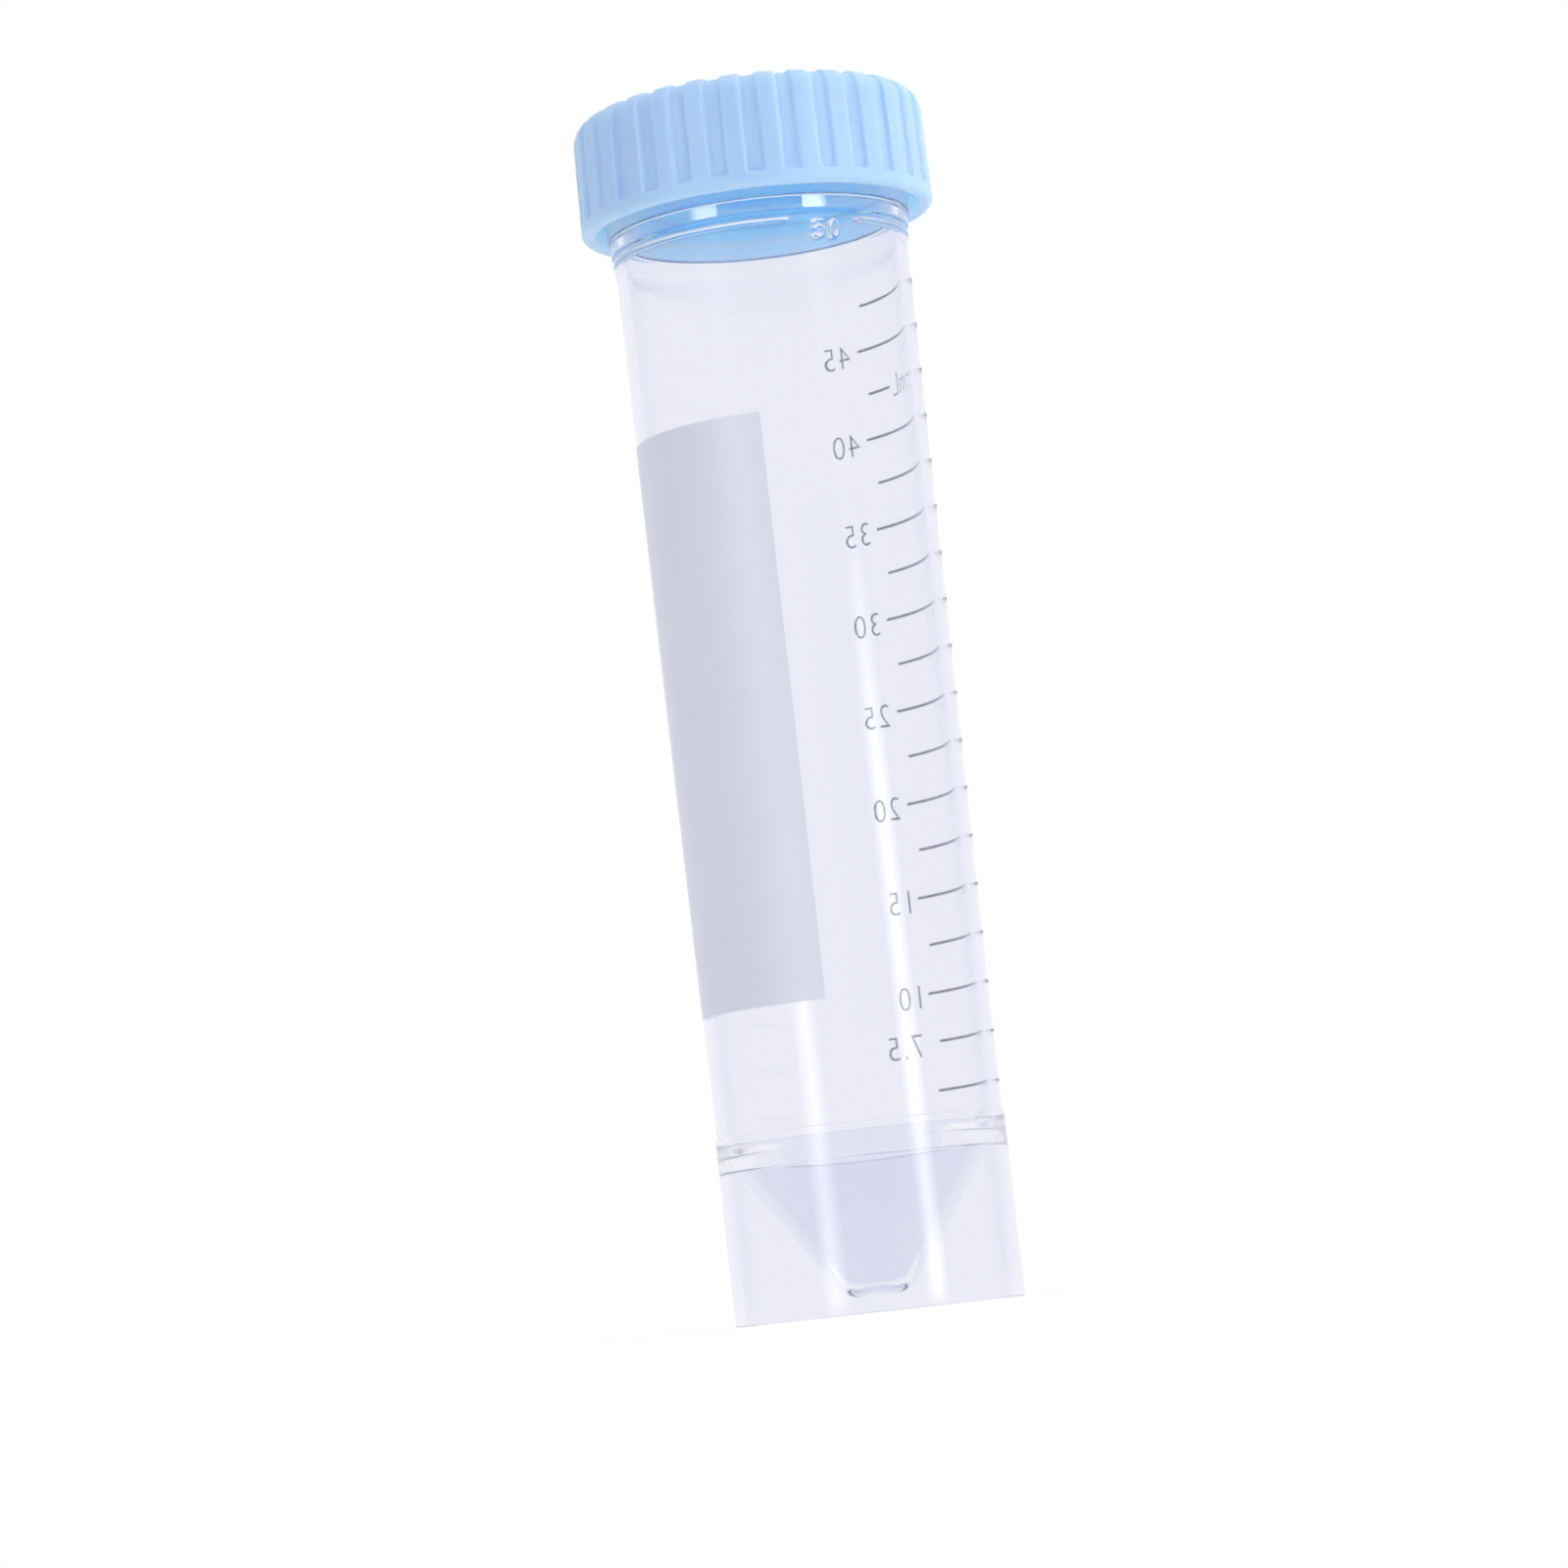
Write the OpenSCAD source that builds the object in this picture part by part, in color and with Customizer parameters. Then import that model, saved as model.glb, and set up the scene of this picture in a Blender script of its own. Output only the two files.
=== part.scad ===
// Self-standing 50 ml conical tube with a ribbed screw cap.
// The tube stands on its skirt with +Z up, its axis on Z and its foot at z = 0.
// Angles run from +X towards +Y. The front of the tube faces -Y.

/* [Tube] */
// Height of the mouth rim above the foot
tube_h = 117.2; // [105:0.1:130]
// Wall thickness of the body
wall = 1.05; // [0.9:0.05:1.3]
// How much smaller the radius of the body is at its foot than at its top
body_draft = 0.56; // [0.4:0.01:0.7]

/* [Skirt and cone] */
// How far the skirt, a true cylinder, stands out of the foot of the body
skirt_step = 0.19; // [0.1:0.01:0.3]
// Height of the skirt, up to the parting line
skirt_h = 18; // [16:0.1:20]
// Wall thickness of the skirt
skirt_wall = 1.1; // [0.9:0.05:1.3]
// Height of the cone's rounded-off tip above the foot
tip_clear = 1.6; // [1:0.1:2.5]
// Outer radius of the flat under the tip
tip_r = 3.1; // [2.7:0.1:3.6]
// Thickness of the floor of the tip
tip_floor = 1.2; // [1:0.1:1.8]
// Radius of the rounded edge under the tip
tip_round = 2; // [1:0.1:2.4]
// Radius of the rounded edge inside the tip
tip_in_round = 1; // [0.5:0.1:1.6]
// Angle between the cone's wall and the axis
cone_half_angle = 35.3; // [34:0.1:37]
// Thickness of the cone's wall, measured square to it
cone_wall = 1.1; // [0.9:0.05:1.3]

/* [Shoulder and neck] */
// Height of the mouth rim above the top of the body
neck_h = 12.2; // [11:0.1:13.4]
// How far the root of the neck's thread stands out of the top of the body
neck_step = 0.08; // [0:0.01:0.2]
// How far the polished shoulder band stands out of the top of the body
shoulder_step = 0.31; // [0.2:0.01:0.5]
// Height of the shoulder band
shoulder_h = 1.6; // [1.2:0.1:2]
// Height of the slope from the body out to the shoulder
shoulder_slope = 0.3; // [0.1:0.05:0.5]
// How far the collar bead under the thread stands out of the neck
collar_step = 0.95; // [0.7:0.01:1.05]
// Thickness of the collar bead
collar_t = 1.7; // [1.4:0.1:2]
// Height of the middle of the collar bead above the shoulder band
collar_up = 1.1; // [0.9:0.05:1.3]
// Radius of the rounded edges of the mouth rim
rim_round = 0.3; // [0.1:0.05:0.4]

/* [Thread] */
// Rise of the thread in one turn
thread_lead = 4; // [3.6:0.1:4.4]
// Turns of each thread
thread_turns = 1.5; // [1:0.25:1.5]
// Height of the neck's thread over its root
thread_depth = 0.85; // [0.7:0.05:1]
// Height of the cap's thread over its root
cap_thread_depth = 0.35; // [0.25:0.05:0.5]
// Axial width of a thread at its root
thread_w = 1.5; // [1.2:0.1:1.7]
// Axial width of a thread at its crest
thread_crest_w = 0.6; // [0.4:0.1:0.8]
// Distance from the mouth rim down to the start of the neck's thread
thread_drop = 1.4; // [1.2:0.1:1.6]

/* [Level marks] */
// Axial width of the moulded line of the full volume
ring_line_w = 0.5; // [0.3:0.05:0.6]
// How far the moulded line stands out of the body
ring_line_t = 0.25; // [0.15:0.05:0.3]
// Angle at which the gap for the moulded number starts
ring_gap_angle = -78; // [-90:1:-60]
// Width of the gap for the moulded number, along the body
ring_gap_w = 7.55; // [6:0.05:9]
// Volume between two marks, in ml
mark_step = 2.5; // [2.5:2.5:5]
// Volume between two long marks, in ml
long_mark_step = 5; // [5:5:10]
// Volume at the lowest printed mark, in ml
mark_first = 5; // [5:2.5:10]
// Axial width of a printed mark
mark_w = 0.35; // [0.25:0.05:0.5]
// Angle at which every printed mark starts
mark_angle = -4.5; // [-10:0.5:5]
// Length of a long mark, along the body
mark_long = 14; // [10:0.1:16]
// Length of a short mark, along the body
mark_short = 13; // [9:0.1:15]
// Volume of the mark that the unit stands in, in ml
unit_mark = 42.5; // [37.5:5:47.5]
// Length of that mark before the unit, along the body
unit_mark_before = 3.6; // [2:0.1:4]
// Length of that mark after the unit, along the body
unit_mark_after = 3.8; // [2:0.1:4]

/* [Writing panel] */
// Height of the panel's lower edge
panel_z = 29.8; // [25:0.1:33]
// Height of the panel
panel_h = 56.4; // [50:0.1:60]
// Angle at which the panel starts
panel_angle = 174; // [165:0.5:185]
// Width of the panel, along the body
panel_w = 22.3; // [20:0.1:26]
// Thickness of the printed ink
ink_t = 0.1; // [0.05:0.01:0.12]

/* [Cap] */
// Outer radius of the cap's plain rim. The neck and the body follow it inwards.
cap_r = 17.4; // [15.5:0.05:19.5]
// Wall thickness of the cap's skirt at its rim
cap_wall = 1.4; // [1.2:0.05:1.6]
// How much narrower the cap is at its closed end
cap_draft = 0.2; // [0:0.05:0.3]
// Height of the cap
cap_h = 11.4; // [10.3:0.1:12.6]
// Thickness of the cap's flat end
cap_top = 1.6; // [1.2:0.1:2]
// Radius of the rounded edge round the closed end
cap_top_round = 2.1; // [1.6:0.1:2.4]
// Radius of the rounded edge at the open end
cap_foot_round = 0.6; // [0.3:0.1:0.7]
// Height of the plain rim under the ribs
cap_rim_h = 1.25; // [1:0.05:1.6]
// Number of grip ribs
rib_count = 30; // [24:1:36]
// Depth of the grooves between the ribs
rib_depth = 0.4; // [0.2:0.05:0.5]
// Share of the pitch that a rib takes
rib_share = 0.57; // [0.45:0.01:0.65]
// Angle of the middle of the first groove
groove_angle = -88.4; // [-95:0.1:-84]
// How far the ribs run in over the flat end
rib_run_in = 1.4; // [0.8:0.1:2]
// Depth of the grooves on the flat end
rib_end_depth = 0.25; // [0.1:0.05:0.3]

/* [Fits] */
// Radial clearance between the crests of the two threads
thread_gap = 0.3; // [0.25:0.05:0.35]

/* [Hidden] */
$fn = 96;
weld = 0.2;                                       // how far joined shapes run into each other
turn_steps = 40;                                  // straight lengths in a turn of thread
arc_steps = 8;                                    // straight lengths in a rounded edge

// the radii, from the cap inwards
cap_top_r = cap_r - cap_draft;
cap_bore_r = cap_r - cap_wall;
neck_r = cap_bore_r - cap_thread_depth - thread_gap - thread_depth;
collar_r = neck_r + collar_step;
body_top_r = neck_r - neck_step;
shoulder_r = body_top_r + shoulder_step;
body_foot_r = body_top_r - body_draft;
skirt_r = body_foot_r + skirt_step;
skirt_in_r = skirt_r - skirt_wall;

// the heights, from the mouth rim down
cap_z = tube_h + cap_top - cap_h;                 // the cap's flat end seats on the mouth rim
thread_z = tube_h - thread_drop - thread_lead * thread_turns;
shoulder_z = tube_h - neck_h;
collar_z = shoulder_z + shoulder_h + collar_up;

taper = body_draft / (shoulder_z - skirt_h);
cone_slope = tan(cone_half_angle);
tip_in_z = tip_clear + tip_floor;
tip_in_r = tip_r + tip_floor * cone_slope - cone_wall / cos(cone_half_angle);
// where the cone runs into the bore of the body
cone_top_z = (bore_r(0) - tip_in_r + cone_slope * tip_in_z) / (cone_slope - taper);
cone_top_r = bore_r(cone_top_z);
cone_ml = PI / 3 * (cone_top_z - tip_in_z)
    * (pow(tip_in_r, 2) + tip_in_r * cone_top_r + pow(cone_top_r, 2)) / 1000;
// where the outside of the cone meets the inside of the skirt
cone_foot_z = tip_clear + (skirt_in_r - tip_r) / cone_slope;
// the full volume: the highest long step that stands below the shoulder
full_ml = long_mark_step * floor(volume(shoulder_z) / long_mark_step);

rib_pitch = 360 / rib_count;
groove_arc = rib_pitch * (1 - rib_share);
rib_in_r = cap_top_r - cap_top_round - rib_run_in;

// Outer radius of the body at height z.
function body_r(z) = body_foot_r + taper * (z - skirt_h);

// Inner radius of the body at height z.
function bore_r(z) = body_r(z) - wall;

// Volume, in ml, up to height z in the tapered bore, with the cone full.
function volume(z) = cone_ml + PI * (pow(bore_r(z), 3) - pow(cone_top_r, 3)) / (3000 * taper);

// Height of the surface of v ml, the other way round.
function level(v) =
    let (r = pow(pow(cone_top_r, 3) + 3000 * taper * (v - cone_ml) / PI, 1 / 3))
    cone_top_z + (r - cone_top_r) / taper;

// Angle that a length w takes up around the body.
function around(w) = w / body_top_r * 180 / PI;

// Points of an arc of radius r about c, from angle a0 to angle a1.
function arc(c, r, a0, a1) = [
    for (i = [0 : arc_steps])
        let (a = a0 + (a1 - a0) * i / arc_steps)
        c + r * [cos(a), sin(a)]
];

// Rounded edge, of radius q, where a flat at height z meets a cone that leaves it at radius r.
function tip_edge(r, z, q) =
    let (a = cone_half_angle)
    arc([r - q * (1 - sin(a)) / cos(a), z + q], q, -90, -a);

// Four corners of the thread's section at angle a, with its root at radius r0 and its
// crest at radius r1.
function thread_section(a, r0, r1) = [
    for (p = [[r0, -thread_w], [r1, -thread_crest_w], [r1, thread_crest_w], [r0, thread_w]])
        [p[0] * cos(a), p[0] * sin(a), thread_lead * a / 360 + p[1] / 2]
];

// Right-handed ridge wound on a cylinder of radius r. A depth above 0 puts its crest outside
// the cylinder, below 0 inside. It fades in and out over an eighth of a turn.
module thread_ridge(r, depth) {
    n = round(thread_turns * turn_steps);
    out = sign(depth);
    points = [
        for (i = [0 : n])
            let (fade = min(1, (min(i, n - i) + 1) * 8 / turn_steps))
            each thread_section(360 * i / turn_steps, r - out * weld, r + depth * fade)
    ];
    sides = [
        for (i = [0 : n - 1], k = [0 : 3])
            let (a = 4 * i, m = (k + 1) % 4)
            [a + k, a + k + 4, a + m + 4, a + m]
    ];
    faces = concat([[0, 1, 2, 3]], sides, [[4 * n + 3, 4 * n + 2, 4 * n + 1, 4 * n]]);
    polyhedron(points, [for (f = faces) out < 0 ? f : [f[3], f[2], f[1], f[0]]]);
}

// Half section of the tube's wall, from the foot of the skirt to the mouth rim.
module tube_section() {
    rim_out = [neck_r - rim_round, tube_h - rim_round];
    rim_in = [bore_r(tube_h) + rim_round, tube_h - rim_round];
    polygon(concat(
        [
            [skirt_in_r, 0], [skirt_r, 0], [skirt_r, skirt_h], [body_foot_r, skirt_h],
            [body_top_r, shoulder_z], [shoulder_r, shoulder_z + shoulder_slope],
            [shoulder_r, shoulder_z + shoulder_h], [neck_r, collar_z]
        ],
        arc(rim_out, rim_round, 0, 90),
        arc(rim_in, rim_round, 90, 180),
        [[cone_top_r, cone_top_z]],
        reverse(tip_edge(tip_in_r, tip_in_z, tip_in_round)),
        [[0, tip_in_z], [0, tip_clear]],
        tip_edge(tip_r, tip_clear, tip_round),
        [[skirt_in_r, cone_foot_z]]
    ));
    translate([collar_r - collar_t / 2, collar_z]) circle(d = collar_t);
}

function reverse(list) = [for (i = [len(list) - 1 : -1 : 0]) list[i]];

// Band of thickness t and height h lying on the body, centred on height z.
module band(z, h, t, from, angle) {
    rotate([0, 0, from]) rotate_extrude(angle = angle) polygon([
        [body_r(z - h / 2), z - h / 2], [body_r(z - h / 2) + t, z - h / 2],
        [body_r(z + h / 2) + t, z + h / 2], [body_r(z + h / 2), z + h / 2]
    ]);
}

// One moulding: body, skirt, cone, shoulder, collar, neck and its thread, and the moulded line.
module tube() {
    color([0.93, 0.94, 0.98, 0.45]) union() {
        rotate_extrude() tube_section();
        translate([0, 0, thread_z]) thread_ridge(neck_r, thread_depth);
        ring_line();
    }
}

// Raised line of the full volume, open where the moulded number stands.
module ring_line() {
    z = level(full_ml);
    gap = around(ring_gap_w);
    rotate([0, 0, ring_gap_angle + gap]) rotate_extrude(angle = 360 - gap) polygon([
        [body_r(z) - weld, z - ring_line_w / 2], [body_r(z) + ring_line_t, z - ring_line_w / 4],
        [body_r(z) + ring_line_t, z + ring_line_w / 4], [body_r(z) - weld, z + ring_line_w / 2]
    ]);
}

// Matt white field to write on.
module writing_panel() {
    color("white") band(panel_z + panel_h / 2, panel_h, ink_t, panel_angle, around(panel_w));
}

// Printed scale: a long mark at each long step and a short one between. The unit interrupts
// its mark.
module graduation_marks() {
    color("slategray") for (v = [mark_first : mark_step : full_ml - mark_step]) {
        whole = around(v % long_mark_step == 0 ? mark_long : mark_short);
        before = v == unit_mark ? around(unit_mark_before) : whole;
        band(level(v), mark_w, ink_t, mark_angle, before);
        if (v == unit_mark) {
            after = around(unit_mark_after);
            band(level(v), mark_w, ink_t, mark_angle + whole - after, after);
        }
    }
}

// Half section of the cap with no bore, cut back by side_cut at the side and by end_cut at
// the flat end.
module cap_blank(side_cut = 0, end_cut = 0) {
    foot = [cap_r - side_cut - cap_foot_round, cap_foot_round];
    top = [cap_top_r - side_cut - cap_top_round, cap_h - end_cut - cap_top_round];
    polygon(concat(
        [[0, 0]], arc(foot, cap_foot_round, -90, 0),
        arc(top, cap_top_round, 0, 90), [[0, cap_h - end_cut]]
    ));
}

// Half section of a groove: what lies outside the cut-back cap, from the plain rim up and round
// on to the flat end.
module groove_section() {
    difference() {
        translate([rib_in_r, cap_rim_h]) square([cap_r - rib_in_r + 1, cap_h - cap_rim_h + 1]);
        cap_blank(rib_depth, rib_end_depth);
    }
}

// One moulding: a screw cap, drawn closed on the tube.
module cap() {
    color([0.68, 0.83, 0.97]) translate([0, 0, cap_z]) {
        difference() {
            rotate_extrude() cap_blank();
            for (i = [0 : rib_count - 1])
                rotate([0, 0, groove_angle + i * rib_pitch - groove_arc / 2])
                    rotate_extrude(angle = groove_arc) groove_section();
            translate([0, 0, -1]) cylinder(r = cap_bore_r, h = cap_h - cap_top + 1);
        }
        translate([0, 0, thread_z - cap_z]) rotate([0, 0, 180])
            thread_ridge(cap_bore_r, -cap_thread_depth);
    }
}

tube();
writing_panel();
graduation_marks();
cap();
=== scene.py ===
"""Dresses the packed model of a self-standing 50 ml conical tube with a ribbed screw cap.

Everything is in metres and in the frame of the packed model: +Z runs up the tube's axis, the foot
is at z = 0 and the front faces -Y. Angles run from +X towards +Y.
"""

import math

import bpy
from bpy.props import FloatProperty, FloatVectorProperty, IntProperty, PointerProperty
from mathutils import Matrix, Quaternion, Vector


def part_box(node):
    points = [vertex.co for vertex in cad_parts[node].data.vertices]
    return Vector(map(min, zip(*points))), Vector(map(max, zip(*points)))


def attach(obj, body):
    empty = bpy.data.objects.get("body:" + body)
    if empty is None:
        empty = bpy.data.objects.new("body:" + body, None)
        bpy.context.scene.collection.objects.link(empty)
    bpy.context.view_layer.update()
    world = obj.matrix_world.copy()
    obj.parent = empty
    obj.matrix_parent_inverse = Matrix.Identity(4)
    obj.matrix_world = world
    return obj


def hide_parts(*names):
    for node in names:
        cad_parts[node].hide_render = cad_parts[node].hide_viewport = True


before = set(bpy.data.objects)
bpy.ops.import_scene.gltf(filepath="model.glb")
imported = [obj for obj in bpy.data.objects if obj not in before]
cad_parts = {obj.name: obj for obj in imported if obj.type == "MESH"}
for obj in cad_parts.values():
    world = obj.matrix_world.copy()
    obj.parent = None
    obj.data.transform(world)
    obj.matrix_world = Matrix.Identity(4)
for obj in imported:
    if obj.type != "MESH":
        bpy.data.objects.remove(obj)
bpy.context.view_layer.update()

bl_info = {
    "name": "Conical tube",
    "version": (1, 0, 0),
    "blender": (4, 5, 0),
    "location": "3D View > Sidebar > Conical tube",
    "description": "Builds a clear conical tube with its print, its ribbed cap and a plain stage",
    "category": "Object",
}

MM = 0.001
DEG = math.radians(1)
TURN = 2 * math.pi
TUBE_LOW, TUBE_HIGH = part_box("tube")
CAP_LOW, CAP_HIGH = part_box("cap")
PANEL_LOW, PANEL_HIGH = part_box("writing_panel")


# ---- Sizes and colours ----


def number(name, description, default, **limits):
    """A number that a user can set."""
    return FloatProperty(name=name, description=description, default=default, **limits)


def length(name, description, default):
    """A length that a user can set, in metres."""
    return number(name, description, default, min=0.0, precision=5, unit="LENGTH")


def angle(name, description, default):
    """An angle that a user can set, given here in degrees."""
    return number(name, description, default * DEG, unit="ROTATION")


def portion(name, description, default, low=0.0, high=1.0):
    """A share that a user can set."""
    return number(name, description, default, min=low, max=high, subtype="FACTOR")


def power(name, description, default):
    """The power of a lamp that a user can set, in watts."""
    return number(name, description, default, min=0.0, unit="POWER")


def colour(name, description, default):
    """A colour that a user can set."""
    return FloatVectorProperty(name=name, description=description, default=default, size=3,
                               subtype="COLOR", min=0.0, max=1.0)


class TubeSizes(bpy.types.PropertyGroup):
    """Sizes of the moulded tube"""

    body_foot_radius: length("Body at its foot", "Outer radius above the skirt", 13.86 * MM)
    body_top_radius: length("Body at its top", "Outer radius under the shoulder", 14.42 * MM)
    body_top: length("Top of the body", "Height at which the shoulder starts", 105 * MM)
    wall: length("Wall", "Wall thickness of the body", 1.05 * MM)
    skirt_radius: length("Skirt", "Outer radius of the skirt", 14.05 * MM)
    skirt_height: length("Skirt height", "Height of the skirt", 18 * MM)
    skirt_wall: length("Skirt wall", "Wall thickness of the skirt", 1.1 * MM)
    tip_height: length("Tip", "Height of the cone's tip above the foot", 1.6 * MM)
    tip_radius: length("Tip radius", "Outer radius of the flat under the tip", 3.1 * MM)
    tip_floor: length("Tip floor", "Thickness of the floor of the tip", 1.2 * MM)
    cone_half_angle: angle("Cone", "Angle between the cone's wall and the axis", 35.3)
    cone_wall: length("Cone wall", "Thickness of the cone's wall", 1.1 * MM)
    shoulder_radius: length("Shoulder", "Outer radius of the polished band", 14.73 * MM)
    shoulder_height: length("Shoulder height", "Height of the polished band", 1.6 * MM)
    shoulder_slope: length("Shoulder slope", "Rise of the slope under the band", 0.3 * MM)
    shoulder_round: length("Shoulder edge", "Radius of the edges of that slope", 0.32 * MM)
    neck_radius: length("Neck", "Outer radius of the neck at the root of its thread", 14.5 * MM)
    collar_rise: length("Collar", "Middle of the collar bead above the band", 1.1 * MM)
    collar_out: length("Collar reach", "How far the bead stands out of the neck", 0.45 * MM)
    collar_thickness: length("Collar thickness", "Thickness of the bead", 1.7 * MM)
    line_height: length("Full line", "Height of the moulded line", 104.43 * MM)
    line_width: length("Full line width", "Axial width of the moulded line", 0.42 * MM)
    line_out: length("Full line reach", "How far the line stands out", 0.16 * MM)
    line_behind: portion("Full line behind", "Share of that reach behind the tube", 0.15)
    line_gap_start: angle("Line gap", "Angle at which the line's gap starts", -78.3)
    line_gap: angle("Line gap width", "Width of the line's gap", 30.5)
    number_foot: length("Raised number", "Height of the foot of the raised number", 102.4 * MM)
    number_tall: length("Raised height", "Height of the raised number's digits", 1.95 * MM)
    number_stroke: length("Raised stroke", "Width of the raised digits' strokes", 0.34 * MM)
    number_crest: length("Raised crest", "Width of the strokes' flat top", 0.14 * MM)
    number_out: length("Raised reach", "How far the raised digits stand out", 0.13 * MM)
    five_start: angle("Five", "Angle at which the raised five starts", -68.9)
    five_width: angle("Five width", "Width of the raised five", 5.1)
    nought_start: angle("Nought", "Angle at which the raised nought starts", -61.8)
    nought_width: angle("Nought width", "Width of the raised nought", 4.2)


class ThreadSizes(bpy.types.PropertyGroup):
    """Sizes of the screw thread"""

    start: length("Start", "Distance of the thread's foot below the mouth rim", 7.4 * MM)
    lead: length("Lead", "Rise in one turn", 4 * MM)
    turns: number("Turns", "Turns of each thread", 1.5)
    root: length("Root", "Axial width at the root", 1.5 * MM)
    crest: length("Crest", "Axial width at the crest", 0.6 * MM)
    neck_depth: length("Neck depth", "Height of the neck's thread", 0.85 * MM)
    cap_depth: length("Cap depth", "Height of the cap's thread", 0.35 * MM)


class CapSizes(bpy.types.PropertyGroup):
    """Sizes of the screw cap"""

    draft: length("Draft", "How much narrower the cap is at its closed end", 0.2 * MM)
    bore_radius: length("Bore", "Inner radius of the cap's skirt", 16 * MM)
    end_thickness: length("End", "Thickness of the flat end", 1.6 * MM)
    end_round: length("End edge", "Radius of the edge round the closed end", 2.1 * MM)
    foot_round: length("Foot edge", "Radius of the outer edge at the open end", 0.6 * MM)
    mouth_round: length("Mouth edge", "Radius of the inner edge at the open end", 0.3 * MM)
    rim_height: length("Plain rim", "Height of the plain rim under the ribs", 1.25 * MM)
    ribs: IntProperty(name="Ribs", description="Number of grip ribs", default=30, min=3)
    rib_share: portion("Rib share", "Share of the pitch that a rib takes", 0.57, 0.1, 0.9)
    groove_depth: length("Groove", "Depth of the grooves on the side", 0.4 * MM)
    groove_end_depth: length("Groove on the end", "Depth of the grooves on the flat end",
                             0.25 * MM)
    groove_run_in: length("Run in", "How far the grooves run in over the flat end", 1.4 * MM)
    groove_edge: length("Groove edge", "Width of the slope beside a groove", 0.5 * MM)
    first_groove: angle("First groove", "Angle of the middle of the first groove", -88.4)


class PrintSizes(bpy.types.PropertyGroup):
    """Sizes of the print"""

    ink: length("Ink", "How far the ink stands out of the tube", 0.05 * MM)
    panel_start: angle("Field start", "Angle at which the writing field starts", 174)
    panel_width: angle("Field width", "Width of the writing field around the tube", 88.6)
    panel_corner: length("Field corner", "Radius of the field's corners", 0.25 * MM)
    mark_width: length("Marks", "Axial width of the marks", 0.25 * MM)
    number_height: length("Numbers", "Height of the printed numbers", 2.3 * MM)
    number_start: angle("Number start", "Angle at which each number starts", 55.4)
    number_drop: length("Number drop", "Middle of a number below its mark", 0.2 * MM)
    number_narrowing: portion("Number width", "Width of the numbers", 0.92, 0.3, 1.5)
    half_start: angle("Half start", "Angle at which the number with a half starts", 57.2)
    number_spacing: portion("Number spacing", "Spacing of the digits", 1.15, 0.5, 2.0)
    unit_start: angle("Unit start", "Angle at which the unit starts", 13.2)
    unit_height: length("Unit", "Height of the printed unit", 2.2 * MM)
    first_volume: number("First mark", "Volume at the lowest mark, in ml", 5.0)
    volume_step: number("Step", "Volume between two marks, in ml", 2.5)


class Finishes(bpy.types.PropertyGroup):
    """Colours of the materials"""

    plastic: colour("Clear plastic", "Tint of the clear plastic", (0.91, 0.915, 0.96))
    shade: colour("Clear plastic's shade", "Light that passes one surface", (0.955, 0.96, 0.98))
    cap: colour("Cap", "Colour of the cap", (0.49, 0.68, 0.97))
    cap_deep: colour("Cap, deep", "Colour of the cap where it is thick", (0.44, 0.64, 0.965))
    # Painted light: the cap's inside is painted a deeper blue that stands in for the light glowing
    # through the cap's walls, and paler near the open end.
    cap_painted_glow: colour("Cap, inside", "Colour of the cap's glowing inside", (0.26, 0.60, 0.94))
    cap_mouth_painted_light: colour("Cap, mouth", "Colour of that inside near the open end", (0.72, 0.80, 0.95))
    field: colour("Writing field", "Colour of the matt white ink", (0.755, 0.77, 0.88))
    scale: colour("Scale", "Colour of the grey ink", (0.12, 0.12, 0.15))
    scale_thin: colour("Scale, thin", "Colour of the grey ink where it is thin",
                       (0.30, 0.30, 0.35))
    floor: colour("Floor", "Colour of the floor", (0.86, 0.86, 0.86))


class StageSizes(bpy.types.PropertyGroup):
    """Camera, lamps and floor"""

    camera_distance: length("Camera distance", "Distance from the tube's axis", 489.6 * MM)
    camera_height: length("Camera height", "Height above the floor", 1.0 * MM)
    camera_yaw: angle("Camera turn", "How far the camera looks to the right", -0.42)
    camera_pitch: angle("Camera tilt", "How far the camera looks up", 5.933)
    camera_roll: angle("Camera roll", "How far the camera leans", -6.394)
    camera_lens: number("Lens", "Focal length on a 36 mm sensor", 115.91, unit="CAMERA")
    floor_size: length("Floor", "Half the width of the floor", 3.0)
    lamp_distance: length("Lamp distance", "Distance of the tall lamps from the axis", 0.9)
    lamp_height: length("Lamp height", "Height of the tall lamps", 0.62)
    lamp_width: length("Lamp width", "Width of the tall lamps", 0.33)
    left_lean: angle("Left lean", "How far the left lamp leans", 25)
    right_lean: angle("Right lean", "How far the right lamp leans", 4)
    right_lamp: number("Right lamp", "Radiance of the right lamp", 15.0, min=0.0)
    left_lamp: number("Left lamp", "Radiance of the left lamp", 11.0, min=0.0)
    side_lamp: power("Side lamp", "Power of the lamp on the right side", 7.5)
    back_lamp: power("Back lamp", "Power of the lamp behind the tube", 7.5)
    top_lamp: power("Top lamp", "Power of the lamp above the tube", 8.0)
    ambient: number("Ambient", "Light from all round on matt surfaces", 0.36, min=0.0)
    beside: colour("Beside", "Colour of the air beside the backdrop", (0.91, 0.915, 0.975))


# ---- Materials ----


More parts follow.
